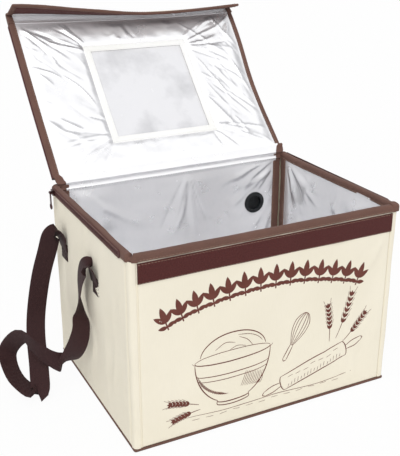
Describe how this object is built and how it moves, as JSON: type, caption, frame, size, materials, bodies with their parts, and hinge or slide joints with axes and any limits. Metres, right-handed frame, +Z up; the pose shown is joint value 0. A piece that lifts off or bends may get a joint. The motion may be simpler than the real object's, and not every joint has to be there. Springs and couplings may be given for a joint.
{
  "type": "folding dough proofer",
  "caption": "Soft-sided proofing box with foil-lined walls that fold flat, a swing-out base, a windowed lid with a hook-and-loop flap, zips, webbing handles and a cable port.",
  "frame": {"origin": "centre of the footprint at table level, on the underside of the base", "axes": "+X to the right, +Y to the back where the lid is hinged, +Z up"},
  "size_m": [0.6646, 0.5488, 0.5756],
  "materials": {
    "canvas": "plain woven canvas",
    "foil": "satin aluminium foil film",
    "foam": "foam board, hidden",
    "binding": "ribbed binding tape",
    "zip_tape": "woven zip tape",
    "hook_and_loop": "napped hook-and-loop",
    "webbing": "woven webbing",
    "port_plastic": "satin moulded plastic",
    "port_rubber": "matt rubber",
    "window_film": "hazy clear film",
    "zip_metal": "black enamel"
  },
  "bodies": {
    "back_wall": {"back_cover": "canvas", "back_core": "foam", "back_liner": "foil", "back_binding": "binding", "port_outer_ring": "port_plastic", "port_inner_ring": "port_plastic", "port_membrane": "port_rubber", "lid_hinge_strip": "foil", "base_hinge_strip": "canvas", "rear_left_strip": "canvas", "rear_right_strip": "canvas"},
    "base": {"base_cover": "canvas", "base_board": "foam", "base_liner": "foil", "base_binding": "binding"},
    "left_wall": {"left_cover": "canvas", "left_core": "foam", "left_liner": "foil", "left_binding": "binding", "left_zip_tape": "zip_tape", "left_handle_ends": "webbing", "front_left_strip": "canvas"},
    "front_wall": {"front_cover": "canvas", "front_core": "foam", "front_liner": "foil", "front_binding": "binding", "loop_strip": "hook_and_loop"},
    "right_wall": {"right_cover": "canvas", "right_core": "foam", "right_liner": "foil", "right_binding": "binding", "right_zip_tape": "zip_tape", "right_handle_ends": "webbing", "front_right_strip": "canvas"},
    "lid": {"lid_cover": "canvas", "lid_core": "foam", "lid_liner": "foil", "lid_binding": "binding", "window_pane": "window_film", "window_frame_inner": "canvas", "window_frame_outer": "canvas", "lid_zip_tape_left": "zip_tape", "lid_zip_tape_right": "zip_tape", "flap_hinge_strip": "canvas"},
    "flap": {"flap_cover": "canvas", "flap_liner": "foil", "flap_binding": "binding", "hook_strip": "hook_and_loop"},
    "left_handle": {"left_handle_strap": "webbing"},
    "right_handle": {"right_handle_strap": "webbing"},
    "left_slider": {"left_zip_slider": "zip_metal"},
    "right_slider": {"right_zip_slider": "zip_metal"},
    "left_pull": {"left_zip_pull": "zip_metal"},
    "right_pull": {"right_zip_pull": "zip_metal"}
  },
  "joints": [
    {"name": "wall_fold", "type": "hinge", "parent": "back_wall", "child": "left_wall", "pos_m": [-0.2058, 0.1503, 0.15], "axis": [0, 0, 1], "range_deg": [0, 88], "deforming": ["rear_left_strip"]},
    {"name": "front_follow", "type": "hinge", "parent": "left_wall", "child": "front_wall", "pos_m": [-0.2058, -0.1503, 0.15], "axis": [0, 0, 1], "range_deg": [-88, 0], "deforming": ["front_left_strip"]},
    {"name": "right_follow", "type": "hinge", "parent": "back_wall", "child": "right_wall", "pos_m": [0.2058, 0.1503, 0.15], "axis": [0, 0, 1], "range_deg": [0, 88], "deforming": ["rear_right_strip", "front_right_strip"]},
    {"name": "base_swing", "type": "hinge", "parent": "back_wall", "child": "base", "pos_m": [0, 0.1637, 0], "axis": [1, 0, 0], "range_deg": [0, 262], "deforming": ["base_hinge_strip"]},
    {"name": "lid_hinge", "type": "hinge", "parent": "back_wall", "child": "lid", "pos_m": [0, 0.1575, 0.3055], "axis": [1, 0, 0], "range_deg": [-46, 134], "deforming": ["lid_hinge_strip"]},
    {"name": "flap_hinge", "type": "hinge", "parent": "lid", "child": "flap", "pos_m": [0, 0.38347, 0.5395], "axis": [1, 0, 0], "range_deg": [-128, 2], "deforming": ["flap_hinge_strip"]},
    {"name": "left_handle_swing", "type": "hinge", "parent": "left_wall", "child": "left_handle", "pos_m": [-0.233, 0.035, 0.252], "axis": [0, -1, 0], "range_deg": [-140, 0]},
    {"name": "right_handle_swing", "type": "hinge", "parent": "right_wall", "child": "right_handle", "pos_m": [0.233, 0.035, 0.252], "axis": [0, -1, 0], "range_deg": [0, 140]},
    {"name": "left_zip_slide", "type": "slide", "parent": "left_wall", "child": "left_slider", "axis": [0, -1, 0], "range_m": [0, 0.262]},
    {"name": "right_zip_slide", "type": "slide", "parent": "right_wall", "child": "right_slider", "axis": [0, -1, 0], "range_m": [0, 0.262]},
    {"name": "left_pull_swing", "type": "hinge", "parent": "left_slider", "child": "left_pull", "pos_m": [-0.2258, 0.14255, 0.2935], "axis": [0, -1, 0], "range_deg": [-150, 0]},
    {"name": "right_pull_swing", "type": "hinge", "parent": "right_slider", "child": "right_pull", "pos_m": [0.2258, 0.14255, 0.2935], "axis": [0, -1, 0], "range_deg": [0, 150]}
  ],
  "couplings": [
    {"joint": "front_follow", "follows": "wall_fold", "ratio": -1},
    {"joint": "right_follow", "follows": "wall_fold", "ratio": 1}
  ]
}
